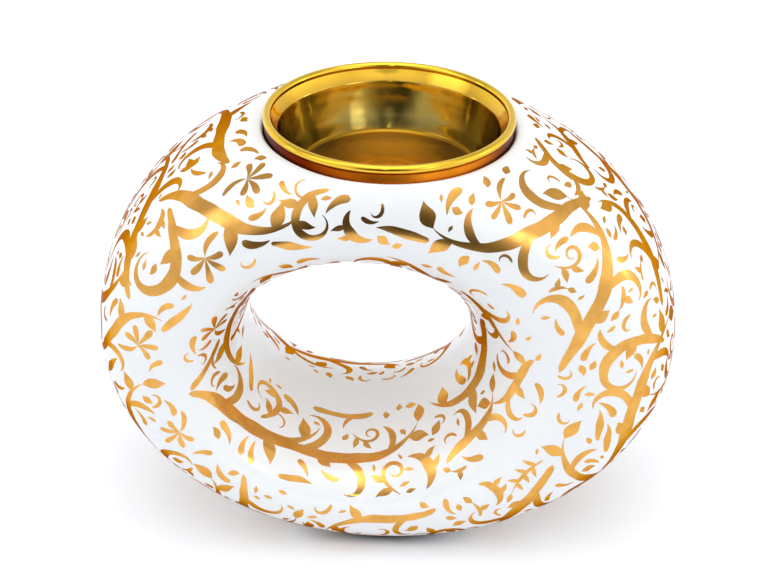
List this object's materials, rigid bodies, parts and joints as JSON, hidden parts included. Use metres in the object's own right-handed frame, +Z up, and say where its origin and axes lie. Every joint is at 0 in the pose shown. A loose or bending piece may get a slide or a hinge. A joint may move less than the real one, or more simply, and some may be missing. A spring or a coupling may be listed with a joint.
{
  "type": "mabkhara incense burner",
  "caption": "Upright ring-shaped incense burner in white glazed porcelain, with a see-through hole and a lift-out brass charcoal cup standing in a brass collar in its crown.",
  "frame": {"origin": "on the surface the burner stands on, midway along its width and its depth", "axes": "+Z up, the see-through hole runs along Y, the front faces -Y and +X is to the right as seen from the front"},
  "size_m": [0.17, 0.085, 0.1302],
  "materials": {
    "porcelain": "white high-gloss glaze with gold painting",
    "collar_brass": "polished",
    "cup_brass": "polished"
  },
  "bodies": {
    "burner": {"porcelain_body": "porcelain", "brass_collar": "collar_brass"},
    "cup": {"charcoal_cup": "cup_brass"}
  },
  "joints": [
    {"name": "cup_lift", "type": "slide", "parent": "burner", "child": "cup", "axis": [0, 0, 1], "range_m": [0, 0.03]}
  ]
}
